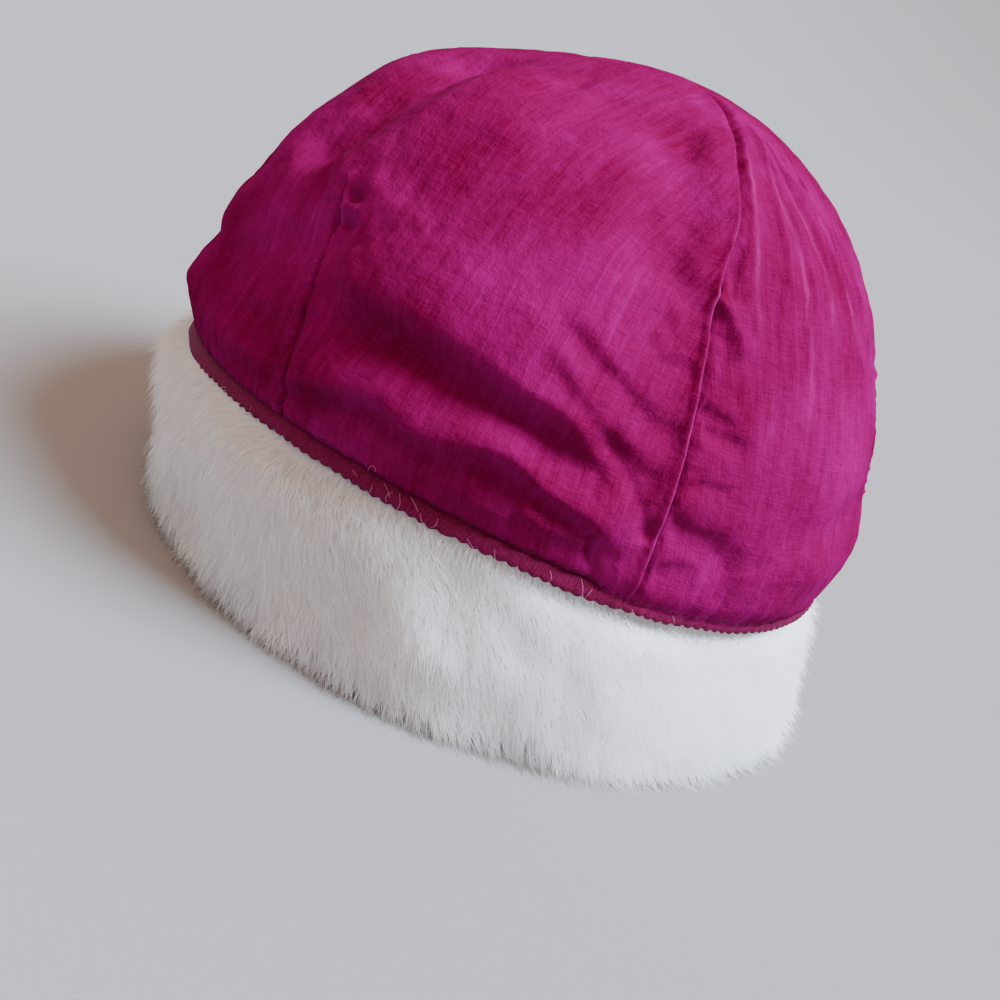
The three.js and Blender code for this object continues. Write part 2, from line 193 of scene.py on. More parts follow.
crownFolds = [
    # on the left, between the dart and the seam
    fold(3.9, 20, 4.2, (124, 0.222), (128, 0.244), (134, 0.248), (141, 0.251), (149, 0.243),
         (156, 0.235), (163, 0.222), (170, 0.195)),
    fold(-4.1, 4, 7.8, (127, 0.18), (134, 0.204), (141, 0.21), (148, 0.206), (155, 0.197),
         (161, 0.186), (167, 0.166), (172, 0.14)),
    fold(3.7, 8, 3.2, (122, 0.065), (128, 0.088), (133, 0.11), (139, 0.132), (144, 0.12),
         (149, 0.117), (156, 0.127), (163, 0.128), (169, 0.115), (173, 0.092), (176.5, 0.06)),
    fold(-2.2, 3, 3.4, (124, 0.043), (129, 0.063), (133, 0.083), (139, 0.103), (144, 0.093),
         (149, 0.088), (156, 0.098), (163, 0.099), (169, 0.09), (173, 0.07)),
    fold(-1.6, 6, 8, (122, 0.02), (130, 0.03), (138, 0.045), (146, 0.035), (152, 0.035),
         (160, 0.042), (168, 0.036), (174, 0.02)),
    fold(1.1, 3, 2.6, (130, 0.022), (135.5, 0.044), (141, 0.05)),
    fold(1.1, 3.2, 2.6, (149, 0.045), (155, 0.058), (161, 0.05)),
    fold(1.5, 3.2, 2.6, (161, 0.082), (167, 0.074), (173, 0.048)),
    fold(-2.5, 1.2, 1.3, (172.2, 0.08), (172.6, 0.04), (173.6, 0.005)),
    # along the lower edge, across the seam
    fold(2.2, 5, 4, (174, 0.03), (180, 0.022), (192, 0.016), (206, 0.016), (222, 0.02)),
    # small ones that run to the seam
    fold(-1.9, 2.2, 5, (156, 0.33), (162, 0.305), (168, 0.275), (173, 0.255), (179.5, 0.25)),
    fold(-1.7, 2.2, 4.2, (155, 0.275), (160, 0.255), (167, 0.215), (174, 0.19), (179, 0.18)),
    fold(-2.1, 2.6, 4, (166, 0.22), (170, 0.195), (174.5, 0.155), (177.5, 0.12), (178.4, 0.09)),
    fold(1, 3.5, 3, (161, 0.235), (167, 0.19), (172, 0.16), (176.5, 0.115)),
    fold(-0.8, 2.2, 3.4, (168, 0.36), (173, 0.335), (178, 0.35)),
    fold(0.5, 2.5, 2.5, (172, 0.4), (176, 0.385), (179.5, 0.4)),
    # right of the seam
    fold(1.6, 4, 1.2, (179.9, 0.455), (182.4, 0.437), (185, 0.41), (186.4, 0.38)),
    fold(-0.6, 1.6, 2.4, (180.4, 0.415), (182.8, 0.395), (183.4, 0.36)),
    fold(-1.9, 2, 3.4, (180.3, 0.3), (183, 0.296), (187, 0.28)),
    fold(-1.6, 1.8, 3, (181, 0.27), (185, 0.262), (190, 0.262)),
    fold(-0.9, 1.2, 2.4, (183, 0.188), (186, 0.192), (190, 0.195)),
    fold(-2.4, 2.6, 5.5, (180.6, 0.14), (184, 0.122), (189, 0.115), (195, 0.1)),
    fold(-1.3, 1.8, 3.4, (180.4, 0.06), (184, 0.07), (188, 0.08)),
    fold(0.8, 4, 1.8, (181.6, 0.83), (183.4, 0.69), (183.6, 0.58), (187.4, 0.465), (190.5, 0.4)),
    fold(-1.2, 1.8, 1.8, (181.6, 0.55), (183.4, 0.5), (184, 0.45)),
    fold(1.1, 3, 1.3, (192, 0.8), (198, 0.64), (200.5, 0.52), (200, 0.36)),
    fold(1.2, 3.4, 1.4, (203, 0.76), (210, 0.6), (214, 0.46), (214, 0.3)),
    fold(1.1, 3.4, 1.6, (218, 0.72), (224, 0.56), (227, 0.4)),
    fold(0.9, 2.6, 1.2, (188, 0.86), (192, 0.72), (194.5, 0.58), (195, 0.4)),
    fold(0.9, 2.8, 1.2, (198, 0.84), (204, 0.7), (207, 0.56), (208, 0.38), (207, 0.22)),
    fold(0.9, 3, 1.3, (208, 0.82), (215, 0.66), (219, 0.5), (220, 0.3)),
    # the left half: higher up, and in front of the seen dart
    fold(3.6, 16, 6, (112, 0.74), (118, 0.64), (119.5, 0.55), (118, 0.47), (115, 0.395),
         (111, 0.35)),
    fold(-4.6, 6, 12, (84, 0.74), (97, 0.64), (104.5, 0.55), (105.5, 0.47), (103, 0.4), (99, 0.33)),
    fold(-1.1, 3, 4, (133, 0.65), (126, 0.73), (112, 0.8)),
    fold(0.7, 4, 5, (134, 0.52), (129, 0.6), (120, 0.7)),
    fold(-0.6, 4, 3, (143, 0.5), (142, 0.66), (138, 0.8)),
    fold(0.6, 5, 3.5, (156, 0.36), (157.5, 0.5), (156, 0.67), (151, 0.8)),
    fold(1.9, 4.5, 8, (177.5, 0.42), (176.5, 0.54), (175, 0.66), (171, 0.8)),
    fold(-2.3, 12, 5.2, (172.5, 0.41), (170.5, 0.54), (167, 0.66), (161, 0.8)),
    fold(-0.9, 2.4, 3.4, (117, 0.315), (121, 0.31), (127, 0.29)),
    fold(0.6, 4, 4, (118, 0.385), (127, 0.37), (136, 0.35)),
    fold(-2.8, 11, 9, (119, 0.24), (112, 0.25), (104, 0.2), (94, 0.13)),
    fold(1.5, 4, 4, (121, 0.06), (112, 0.075), (103, 0.05)),
    fold(-0.9, 2.5, 2.5, (119, 0.13), (113, 0.14), (108, 0.12)),
    # the front left and the front
    fold(-1.7, 6, 6, (76, 0.31), (83, 0.31), (92, 0.3)),
    fold(-2.2, 5, 5, (66, 0.16), (78, 0.165), (92, 0.15)),
    fold(2, 5, 4, (64, 0.085), (78, 0.09), (94, 0.075)),
    fold(-1.4, 8, 8, (88, 0.78), (95, 0.62), (100, 0.46)),
    fold(1.8, 18, 5.5, (8, 0.215), (28, 0.235), (52, 0.175)),
    fold(-2.4, 5, 7, (10, 0.165), (30, 0.18), (53, 0.125)),
    fold(2.7, 8, 4.5, (10, 0.115), (24, 0.13), (38, 0.11), (54, 0.07)),
    fold(-1.8, 4, 4, (12, 0.065), (30, 0.078), (48, 0.04)),
    fold(-1.2, 8, 8, (30, 0.36), (26, 0.5), (22, 0.66)),
    fold(0.8, 4, 4, (14, 0.4), (12, 0.55), (12, 0.7)),
    fold(0.8, 5, 5, (42, 0.3), (46, 0.45), (44, 0.6)),
    # the right half
    fold(-1.5, 5, 7, (198, 0.16), (214, 0.175), (236, 0.19)),
    fold(1.4, 6, 4.5, (206, 0.1), (220, 0.11), (238, 0.12)),
    fold(2, 18, 5.5, (250, 0.24), (270, 0.26), (294, 0.2)),
    fold(-2.6, 5, 7, (252, 0.185), (272, 0.2), (294, 0.145)),
    fold(2.8, 8, 4.5, (250, 0.12), (266, 0.135), (280, 0.125), (294, 0.09)),
    fold(-2, 4, 4, (254, 0.065), (272, 0.08), (290, 0.045)),
    fold(-1.4, 7, 7, (262, 0.42), (268, 0.58), (272, 0.74)),
    fold(0.9, 4, 4, (284, 0.36), (288, 0.5), (286, 0.64)),
    fold(-2.4, 5, 8, (310, 0.18), (330, 0.22), (350, 0.22)),
    fold(2.3, 8, 4.5, (308, 0.115), (322, 0.135), (336, 0.14), (352, 0.13)),
    fold(0.9, 6, 6, (330, 0.4), (326, 0.55), (322, 0.7)),
    fold(-0.9, 5, 5, (345, 0.36), (348, 0.52), (348, 0.68)),
]

crownDarts = [
    [(123.6, 0), (124, 0.085), (123, 0.13), (120.5, 0.22), (119, 0.265), (117.5, 0.315), (116, 0.36)],
    [(57, 0), (58, 0.1), (60, 0.24), (62, 0.36)],
    [(238, 0), (239, 0.1), (241, 0.24), (243, 0.38)],
    [(304, 0), (303, 0.1), (301, 0.24), (299, 0.38)],
]

seenDart = crownDarts[0]                 # the one that the photo shows
wholeTurn = 6.283
meanReach = (crown["width"] + crown["length"]) / 4
profile = lineThrough(np.array(crownOutline) * (meanReach, crown["height"]), 1500)
profileSteps = np.hypot(*np.diff(profile, axis=0).T)
profileWay = np.concatenate([[0], np.cumsum(profileSteps)])
clothLength = profileWay[-1]
profileWay /= clothLength
profileRun = np.gradient(profile, axis=0)
profileRun /= np.linalg.norm(profileRun, axis=1, keepdims=True)


def profileAt(climb):
    reach, height = (np.interp(climb, profileWay, profile[:, k]) for k in (0, 1))
    runOut, runUp = (np.interp(climb, profileWay, profileRun[:, k]) for k in (0, 1))
    return reach, height, runOut, runUp


def hemLine(bearing):
    return crown["hem"] - crown["hemWave"] * np.sin(np.radians(2 * bearing))


# distance to a way, which side of it a place is on, and the share of the way that it is nearest to
def besideWay(way, bearing, climb, reach):
    best = np.full(len(bearing), 1e9)
    side, share = np.zeros(len(bearing)), np.zeros(len(bearing))
    for i, (start, end) in enumerate(zip(way[:-1], way[1:])):
        ax = np.radians(wrap(end[0] - start[0])) * reach
        ay = (end[1] - start[1]) * clothLength
        px = np.radians(wrap(bearing - start[0])) * reach
        py = (climb - start[1]) * clothLength
        t = np.clip((px * ax + py * ay) / (ax * ax + ay * ay + 1e-9), 0, 1)
        away = np.hypot(px - t * ax, py - t * ay)
        near = away < best
        best = np.where(near, away, best)
        side = np.where(near, np.sign(ax * py - ay * px), side)
        share = np.where(near, (i + t) / (len(way) - 1), share)
    return best, side, share


def foldRelief(bearing, climb, reach):
    total = np.zeros(len(bearing))
    for row in crownFolds:
        away, side, share = besideWay(row["way"], bearing, climb, reach)
        fade = smooth(share, -0.02, 0.15) * (1 - smooth(share, 0.85, 1.02))
        width = np.where(side > 0, row["above"], row["below"])
        total += row["depth"] * fade * bell(away, width)
    return total


seamForm = {
    "lip": 0.95, "lipWidth": 1.5, "lipOut": 0.5, "cut": 0.9, "cutWidth": 0.5,      # the left side
    "fall": 1.1, "fallWidth": 1.7,                                                 # the right side
    "hollow": 0.5, "hollowOut": (5, 0), "hollowWidth": (4, 5),                     # left and right
    "topGroove": 0.9, "topWidth": 1.6,
    "rippleStep": 6.2, "rippleReach": 5.5, "leftRipple": 0.12, "rightRipple": 0.3,
}


def seamRelief(bearing, climb, reach):
    form = seamForm
    offSeam = np.abs(np.sin(np.radians(bearing))) * reach
    left = np.sin(np.radians(bearing)) >= 0
    high = smooth(climb, 0.55, 0.75)
    lip = form["lip"] * (1 - high) * bell(offSeam - form["lipOut"], form["lipWidth"])
    cut = form["cut"] * bell(offSeam, form["cutWidth"])
    edge = np.where(left, lip - cut, -form["fall"] * bell(offSeam, form["fallWidth"]))
    hollowPlace, hollowWidth = (np.where(left, *pair) for pair in (form["hollowOut"], form["hollowWidth"]))
    hollow = -form["hollow"] * bell(offSeam - hollowPlace, hollowWidth)
    turns = climb * clothLength / form["rippleStep"] * wholeTurn + 2.4 * np.sin(climb * 31)
    amount = np.where(left, form["leftRipple"], form["rightRipple"]) + 0.12 * np.sin(climb * 17 + 1)
    ripple = np.sin(turns) * np.exp(-offSeam / form["rippleReach"]) * amount * (1 - bell(offSeam, 1.2))
    groove = form["topGroove"] * high * bell(offSeam, form["topWidth"])
    return (edge - groove + hollow + ripple) * smooth(climb, 0.0, 0.05)


dartForm = {
    "groove": 1.7, "grooveWidth": 0.5, "valley": 0.1, "valleyWidth": 2.5,
    "lip": 0.3, "lipOut": 1.6, "lipWidth": 0.9,
    "pucker": 0.62, "puckerLean": 0.3, "puckerStep": 3.6, "puckerReach": 2.6,
    "length": 62, "plainShare": 0.4,     # the darts that the photo hides are plainer
}

# hollows and swellings at a dart's upper end: depth, place to the right and up, and both radii
dartTip = [
    (2.9, 5.2, -1.2, 3.0, 2.2), (2.2, 7.5, -7.8, 3.4, 1.7),
    (-0.9, 6.5, -4.8, 2.6, 1.4), (-0.8, 0, 0.8, 1.0, 2.2),
]


def dartRelief(bearing, climb, reach):
    form = dartForm
    total = np.zeros(len(bearing))
    for dart in crownDarts:
        away, side, share = besideWay(dart, bearing, climb, reach)
        strength = 1 - 0.5 * smooth(share, 0.8, 1)
        groove = form["groove"] * bell(away, form["grooveWidth"])
        total -= strength * (groove + form["valley"] * bell(away, form["valleyWidth"]))
        total += (form["lip"] - 0.15 * side) * bell(away - form["lipOut"], form["lipWidth"]) * strength
        turns = share * form["length"] * wholeTurn / form["puckerStep"] + 1.7 * np.sin(share * 23)
        ripple = np.sin(turns) * np.exp(-away / form["puckerReach"])
        total += (form["pucker"] + form["puckerLean"] * side) * ripple * (1 - bell(away, 0.5))
        x = np.radians(wrap(bearing - dart[-1][0])) * reach
        y = (climb - dart[-1][1]) * clothLength
        tip = np.zeros(len(x))
        for depth, right, up, wide, tall in dartTip:
            tip += depth * bell(np.hypot((x - right) / wide, (y - up) / tall), 1)
        away = np.hypot(x, y)
        tip -= 0.35 * np.sin(5 * np.arctan2(y, x) + 0.6) * away / 4 * np.exp(-away / 4)
        total -= tip * (1 if dart is seenDart else form["plainShare"])
    return total


# right of the seam the cloth hangs over its sewn line
def bulge(bearing):
    return smooth(bearing, 173.6, 178) * (1 - smooth(bearing, 214, 232))


# how far the cloth stands out from its plain outline, in millimetres
def clothRelief(bearing, climb, reach, base):
    drift = [softNoise(base, 15, seed) * crown["warp"] for seed in (3, 4)]
    turned = bearing + np.degrees(drift[0] / np.maximum(reach, 20))
    raised = np.clip(climb + drift[1] / clothLength, 0, 1)
    nearTop = 1 - smooth(climb, 0.86, 0.99)
    nearHem = smooth(climb, 0.008, 0.06)
    relief = foldRelief(turned, raised, reach) * nearHem
    panel = np.sin(np.radians(3 * bearing)) ** 2
    relief += crown["swell"] * (panel - 0.5) * (1 - smooth(climb, 0.3, 0.7)) * nearHem
    flat = np.stack([np.radians(bearing) * meanReach, climb * clothLength, np.zeros(len(climb))], 1)
    along = creaseNoise(flat, (9, 70, 9), 11) * 0.9 + creaseNoise(flat, (4.5, 46, 9), 12) * 0.6
    cross = creaseNoise(base, (13, 13, 9), 13) + 0.6 * creaseNoise(base, (7, 7, 5), 14)
    rightSide = smooth(wrap(bearing - 180), 0, 12) * (1 - smooth(wrap(bearing - 180), 70, 100))
    lengthwise = (0.4 + 2 * rightSide) * smooth(climb, 0.06, 0.3) * (1 - smooth(climb, 0.68, 0.88))
    crumple = (0.4 + 0.6 * (1 - smooth(climb, 0.12, 0.4))) * (1 - 0.6 * rightSide)
    relief += crown["crinkle"] * (along * lengthwise * 0.75 + cross * crumple * 0.6)
    relief += crown["fineCrinkle"] * softNoise(base, 3.4, 15)
    relief += crown["slump"] * softNoise(base, 26, 16)
    turns = np.radians(bearing) * meanReach / crown["gatherStep"] * wholeTurn
    gather = np.sin(turns + 2.2 * np.sin(np.radians(bearing) * 9))
    relief += crown["gather"] * gather * np.exp(-climb * clothLength / 8.0) * smooth(climb, 0.0, 0.015)
    relief += dartRelief(bearing, climb, reach) + seamRelief(bearing, climb, reach)
    relief -= crown["turnIn"] * (1 - smooth(climb, 0, 0.02)) * (1 - bulge(bearing))
    return relief * nearTop


def seamRise(climb):
    return smooth(climb, 0.43, 0.6) * (1 - smooth(climb, 0.88, 1))


def crownPoints(bearing, climb, side, inward=0):
    reach, height, runOut, runUp = profileAt(climb)
    wave = (hemLine(bearing) - crown["hem"]) * (1 - smooth(climb, 0, 0.8))
    halfX, halfY = crown["width"] / 2 / meanReach, crown["length"] / 2 / meanReach
    base = ellipse(bearing, reach * halfX, reach * halfY, crown["foot"] + wave + height)
    shift = clothRelief(bearing, climb, reach, base) - inward
    points = base + ellipse(bearing, runUp * shift, runUp * shift, -runOut * shift)
    points[:, 2] -= crown["sag"] * bulge(bearing) * (1 - smooth(climb, 0, 0.1))
    points[:, 0] = side * np.maximum(side * points[:, 0], 0.02)
    points[:, 0] -= crown["seamShift"] * seamRise(climb) * bell(wrap(bearing - 180), 30)
    return leanAway(points, crown["sway"] * smooth(climb, 0.55, 0.9))


# the cloth laid flat, for the run of its threads: across and along each half's own upright line
def flatPlace(bearing, climb, side):
    reach = profileAt(climb)[0]
    upright = 140 if side > 0 else 208
    return np.stack([np.radians(wrap(bearing - upright)) * reach, climb * clothLength], 1) * mm


# one face of a half: rows of points with the top as the last one, their places, the triangles and the
# border
def crownFace(start, side, columns, rows, inward):
    places = np.linspace(start, start + 180, 3601)       # columns stand closer at the seams and darts
    need = 1 + 3.2 * bell(places - start, 2.5) + 3.2 * bell(places - start - 180, 2.5)
    for dart in crownDarts:
        need += (2.2 if dart is seenDart else 0.6) * bell(places - dart[3][0], 3.5)
    need -= 0.3 * (places < 60)
    total = np.concatenate([[0], np.cumsum((need[1:] + need[:-1]) / 2)])
    bearing1 = np.interp(np.linspace(0, total[-1], columns + 1), total, places)
    climb1 = np.linspace(0, 1, rows + 1)[:-1] ** 1.12
    bearing, climb = np.meshgrid(bearing1, climb1)
    points = crownPoints(bearing.ravel(), climb.ravel(), side, inward)
    top = crownPoints(np.array([start + 90.0]), np.array([1.0]), side, inward)
    wide = columns + 1
    k = (np.arange(rows - 1)[:, None] * wide + np.arange(columns)[None]).ravel()
    last = (rows - 1) * wide + np.arange(columns)
    apex = np.full(columns, rows * wide)
    triangles = np.vstack([
        np.stack([k, k + 1, k + 1 + wide], 1),
        np.stack([k, k + 1 + wide, k + wide], 1),
        np.stack([last, last + 1, apex], 1),
    ])
    up = np.arange(1, rows) * wide
    return {
        "points": np.vstack([points, top]), "triangles": triangles,
        "border": np.concatenate([np.arange(wide), up + columns, [rows * wide], up[::-1]]),
        "bearing": np.append(bearing.ravel(), start + 90), "climb": np.append(climb.ravel(), 1.0),
    }


# painted highlights along the long creases of the right half: their strength and their way
crestWays = [
    (0.5, [(182.5, 0.8), (184, 0.69), (184.2, 0.58), (188, 0.465), (190.8, 0.4)]),
    (0.55, [(190.5, 0.78), (193.6, 0.655), (197.3, 0.57), (200, 0.48), (201.5, 0.345), (201, 0.26)]),
    (0.45, [(197, 0.76), (203, 0.64), (207.5, 0.5), (209.5, 0.36)]),
    (0.5, [(206, 0.76), (213, 0.62), (217.5, 0.47), (221.5, 0.34)]),
]


def crestHighlights(bearing, climb):
    reach = profileAt(climb)[0]
    total = np.zeros(len(bearing))
    for strength, way in crestWays:
        away, _, share = besideWay(way, bearing, climb, reach)
        fade = smooth(share, 0, 0.25) * (1 - smooth(share, 0.7, 1))
        wander = 0.7 + 0.3 * np.sin(share * 21 + strength * 40)
        total = np.maximum(total, strength * fade * wander * bell(away, 0.75))
    return total


def crownHalf(name, start, side):
    columns, rows = crown["columns"], crown["rows"]
    outer = crownFace(start, side, columns, rows, 0)
    inner = crownFace(start, side, columns // 3, rows // 3, crown["wall"])
    count = len(outer["points"])
    near = inner["border"] + count
    after = np.roll(near, -1)
    e = [np.roll(outer["border"], -k)[::3] for k in range(3)]       # three outer edges to each inner one
    e.append(np.roll(e[0], -1))
    border = [(e[1], e[0], near), (e[2], e[1], near), (e[2], near, after), (e[3], e[2], after)]
    vertices = np.vstack([outer["points"], inner["points"]])
    faces = [outer["triangles"], inner["triangles"][:, ::-1] + count]
    faces += [np.stack(corners, 1) for corners in border]
    flat = [flatPlace(face["bearing"], face["climb"], side) for face in (outer, inner)]
    half = meshFrom(name, vertices, np.vstack(faces), np.vstack(flat))
    bearing, climb = outer["bearing"], outer["climb"]
    # painted highlight: a pale line along the left half's seam edge, and pale lines along the right half's
    # long creases
    paintedHighlight = np.zeros(len(vertices))
    if side > 0:
        offSeam = np.radians(wrap(bearing - 180)) * profileAt(climb)[0]
        paintedHighlight[:count] = bell(offSeam, 0.45) * smooth(outer["points"][:, 2], 55, 66)
        paintedHighlight[count - 1] = 0
    else:
        paintedHighlight[:count] = crestHighlights(bearing, climb)
    attribute = half.data.attributes.new("paintedHighlight", "FLOAT", "POINT")
    attribute.data.foreach_set("value", paintedHighlight.astype(np.float32))
    return half


crownLeft = crownHalf("crownLeftCloth", 0, 1)
crownRight = crownHalf("crownRightCloth", 180, -1)
print("crown cloth made", len(crownLeft.data.polygons), len(crownRight.data.polygons))


# the overlocked edging and its threads

edging = {
    "neck": 1.9,                         # how far inside the crown's lower edge the rim starts
    "height": 4.4,
    "scallop": 3.3, "scallopDepth": 0.6,
    "columns": 1320,
    "stitch": 3.1, "dartStitch": 2.9, "stitchLength": 2.2, "thread": 0.26,
    "hemRaised": -0.12, "dartRaised": 0.3,
    "looseThread": 0.06,
}


def ringPlace(bearing, out, height):
    reachX = crownOutline[0][0] * crown["width"] / 2 - edging["neck"] + out
    reachY = crownOutline[0][0] * crown["length"] / 2 - edging["neck"] + out
    return ellipse(bearing, reachX, reachY, height)


# the faces of a ring whose section has so many corners
def ringQuads(count, size):
    i, k = np.meshgrid(np.arange(count), np.arange(size), indexing="ij")
    corners = [(i % count) * size + k, (i % count) * size + (k + 1) % size]
    corners += [((i + 1) % count) * size + (k + 1) % size, ((i + 1) % count) * size + k]
    return np.stack(corners, -1).reshape(-1, 4)


def edgingStrip():
    count = edging["columns"]
    bearing = np.arange(count) * 360 / count
    way = np.radians(bearing) * meanReach
    low = hemLine(bearing)
    turn = np.radians(bearing)
    around = np.stack([meanReach * np.sin(turn), meanReach * np.cos(turn), np.zeros(count)], 1)
    drift = softNoise(around, 9, 21)
    lobe = np.abs(np.sin(np.pi * (way / edging["scallop"] + 0.35 * drift)))
    lift = softNoise(around, 14, 22)
    # out, up, and how much each corner hangs with the scallops
    section = [
        (0.1, 4.3, 0), (0.9, 4.25, 0), (1.6, 3.7, 0.1), (2.15, 2.6, 0.25), (2.5, 1.4, 0.6),
        (2.6, 0.4, 1), (2.2, -0.2, 1), (1.4, 0.3, 0.8), (0.8, 1.6, 0.3), (0.1, 3.0, 0),
    ]
    rows = []
    for out, up, hang in section:
        puff = 0.22 * hang * lobe + 0.25 * lift * hang
        drop = hang * edging["scallopDepth"] * (lobe - 0.5) + 0.3 * hang * drift
        rows.append(ringPlace(bearing, out + puff, low + up - drop))
    vertices = np.stack(rows, 1).reshape(-1, 3)
    size = len(section)
    quads = ringQuads(count, size)[:, ::-1]
    across = np.tile(np.array([up for _, up, _ in section]) * mm, count)
    uv = np.stack([np.repeat(way * mm, size), across], 1)
    return meshFrom("edgingStrip", vertices, quads, uv)


# one stitch, modelled once and copied
def stitchForm():
    bpy.ops.object.select_all(action="DESELECT")
    long, radius = edging["stitchLength"] * mm, edging["thread"] * mm
    bpy.ops.mesh.primitive_cylinder_add(vertices=6, radius=radius, depth=long)
    stitch = bpy.context.object
    bpy.ops.object.mode_set(mode="EDIT")
    bpy.ops.mesh.select_all(action="SELECT")
    bpy.ops.mesh.bevel(offset=0.12 * mm, segments=1)
    bpy.ops.object.mode_set(mode="OBJECT")
    points = np.array([tuple(v.co) for v in stitch.data.vertices]) / mm
    bend = 0.22 * (1 - (2 * points[:, 2] / edging["stitchLength"]) ** 2)
    points[:, 1] += bend
    faces = [tuple(p.vertices) for p in stitch.data.polygons]
    bpy.data.objects.remove(stitch, do_unlink=True)
    return points, faces


def placeStitches(name, places, runs, outs):
    points, faces = stitchForm()
    vertices, polygons = [], []
    for place, run, out in zip(places, runs, outs):
        run = run / np.linalg.norm(run)
        out = out - run * (out @ run)
        out /= np.linalg.norm(out)
        side = np.cross(out, run)
        start = len(vertices) * len(points)
        vertices.append(points @ np.stack([side, out, run]) + place)
        polygons += [[start + i for i in face] for face in faces]
    mesh = bpy.data.meshes.new(name)
    mesh.from_pydata((np.vstack(vertices) * mm).tolist(), [], polygons)
    mesh.polygons.foreach_set("use_smooth", np.full(len(mesh.polygons), True))
    return addObject(name, mesh)


# stitches along a line on the cloth, raised above it or, below zero, sunk into it
def stitchLine(name, bearings, climbs, raised):
    places, runs, outs = [], [], []
    step = 0.2
    spots = list(zip(bearings, climbs))
    for (bearing, climb), (nextBearing, nextClimb) in zip(spots, spots[1:]):
        side = 1 if math.sin(math.radians(bearing)) >= 0 else -1
        b = np.array([bearing, nextBearing, bearing + step, bearing])
        c = np.array([climb, nextClimb, climb, climb + 0.002])
        p = crownPoints(b, c, side)
        out = np.cross(p[2] - p[0], p[3] - p[0])
        out /= np.linalg.norm(out)
        places.append(p[0] + out * raised)
        runs.append(p[1] - p[0])
        outs.append(out)
    return placeStitches(name, places, runs, outs)


def hemStitches():
    count = int(2 * math.pi * meanReach / edging["stitch"])
    bearings = (np.arange(count + 1) + 0.3) * 360 / count
    return stitchLine("hemStitches", bearings, np.full(count + 1, 0.012), edging["hemRaised"])


def dartStitches():
    made = []
    for number, dart in enumerate(crownDarts):
        way = np.array(dart, float)
        count = int((way[-1, 1] - way[0, 1]) * clothLength / edging["dartStitch"])
        share = np.linspace(0.05, 0.97, count) * (len(way) - 1)
        bearings = np.interp(share, np.arange(len(way)), way[:, 0])
        climbs = np.interp(share, np.arange(len(way)), way[:, 1])
        made.append(stitchLine("dartStitches" + str(number), bearings, climbs, edging["dartRaised"]))
    return made


# loose ends of thread at the edging: the bearing, then points (out, up, along) in millimetres
looseThreads = [
    (138, [(2.4, 2.6, 0), (3.4, 2.9, 1), (3.3, 2.2, 2.2)]),
    (140, [(1.8, 4.2, 0), (3, 5.6, 0.6), (3.3, 6.6, 1.6), (3.1, 5.6, 2.6)]),
    (141.5, [(2.5, 2, 0), (3.6, 0.6, 0.4), (3.4, -1, -0.2)]),
    (143, [(2.4, 3.6, 0), (3.5, 3.2, 1.6), (3.5, 1.8, 2.8)]),
    (144.5, [(2.5, 3, 0), (3.6, 1.6, -0.8), (3.3, 0.2, -0.4)]),
    (145.5, [(2.5, 3.4, 0), (3.6, 1.4, 1.2), (3.5, -0.9, 0.9), (3.1, -1.8, 1.7)]),
    (147, [(2.4, 4, 0), (3.5, 3.8, 1.4), (3.6, 2.2, 3.2)]),
    (149, [(2.5, 1.6, 0), (3.7, 0.6, 1.2), (3.8, -0.3, 2.6)]),
    (151.5, [(2.5, 2.6, 0), (3.5, 1.2, 0.2), (3.3, 0, -0.6)]),
    (156, [(2.5, 1.4, 0), (3.6, 0.8, 1.6), (3.5, 0.1, 2.8)]),
    (160, [(2.5, 2, 0), (3.6, 0.2, 1), (3.7, -0.6, 3)]),
    (163.5, [(2.5, 0.8, 0), (3.6, -0.4, 1.6), (3.9, -0.5, 3.6)]),
    (168, [(2.5, 2.8, 0), (3.5, 1.4, 0.8), (3.4, 0.2, 0.4)]),
    (172.5, [(2.4, 3.8, 0), (3.5, 2.4, 0.8), (3.6, 0.4, 1.6), (3.4, -0.8, 3)]),
    (174.5, [(2.5, 2.4, 0), (3.6, 1.6, -0.8), (3.4, 0, -1.2)]),
    (181, [(2.5, 1.4, 0), (3.6, -0.2, 2), (3.9, -0.2, 4.2)]),
    (188, [(2.5, 2.2, 0), (3.4, 1, 0.6), (3.2, 0, 0.2)]),
    (212, [(2.5, 1.4, 0), (3.6, -0.6, 1.4), (3.8, -1, 2.8)]),
    (262, [(2.5, 2.4, 0), (3.6, 0.6, 1.4), (3.6, -1, 1.2)]),
    (331, [(2.5, 3.4, 0), (3.6, 1.6, 1.6), (3.8, -0.4, 2.8)]),
    (18, [(2.5, 2.4, 0), (3.6, 1, 1.6), (3.8, -0.6, 2.4)]),
    (78, [(2.5, 2.8, 0), (3.6, 1.2, 1.6), (3.8, -0.8, 2.2)]),
    (118, [(2.5, 2, 0), (3.5, 0.8, 1), (3.4, 0, 2)]),
]


def threadEnds():
    curve = bpy.data.curves.new("threadEnds", "CURVE")
    curve.dimensions = "3D"
    curve.bevel_depth = edging["looseThread"] * mm
    curve.bevel_resolution = 1
    curve.resolution_u = 6
    curve.use_fill_caps = True
    for start, points in looseThreads:
        spots = []
        for out, up, along in points:
            bearing = start + math.degrees(along / meanReach)
            low = float(hemLine(np.array([bearing]))[0])
            spots.append(ringPlace(np.array([bearing]), out, np.array([low + up]))[0] * mm)
        line = curve.splines.new("BEZIER")
        line.bezier_points.add(len(spots) - 1)
        for point, spot in zip(line.bezier_points, spots):
            point.co = spot
            point.handle_left_type = point.handle_right_type = "AUTO"
    ends = addObject("threadEnds", curve)
    bpy.ops.object.select_all(action="DESELECT")
    bpy.context.view_layer.objects.active = ends
    ends.select_set(True)
    bpy.ops.object.convert(target="MESH")
    ends.select_set(False)
    return bpy.data.objects["threadEnds"]


edgeStrip = edgingStrip()
hemThread = hemStitches()
dartThread = dartStitches()
looseEnds = threadEnds()
print("edging and stitches made")


# the fur rim: a soft body and its pile

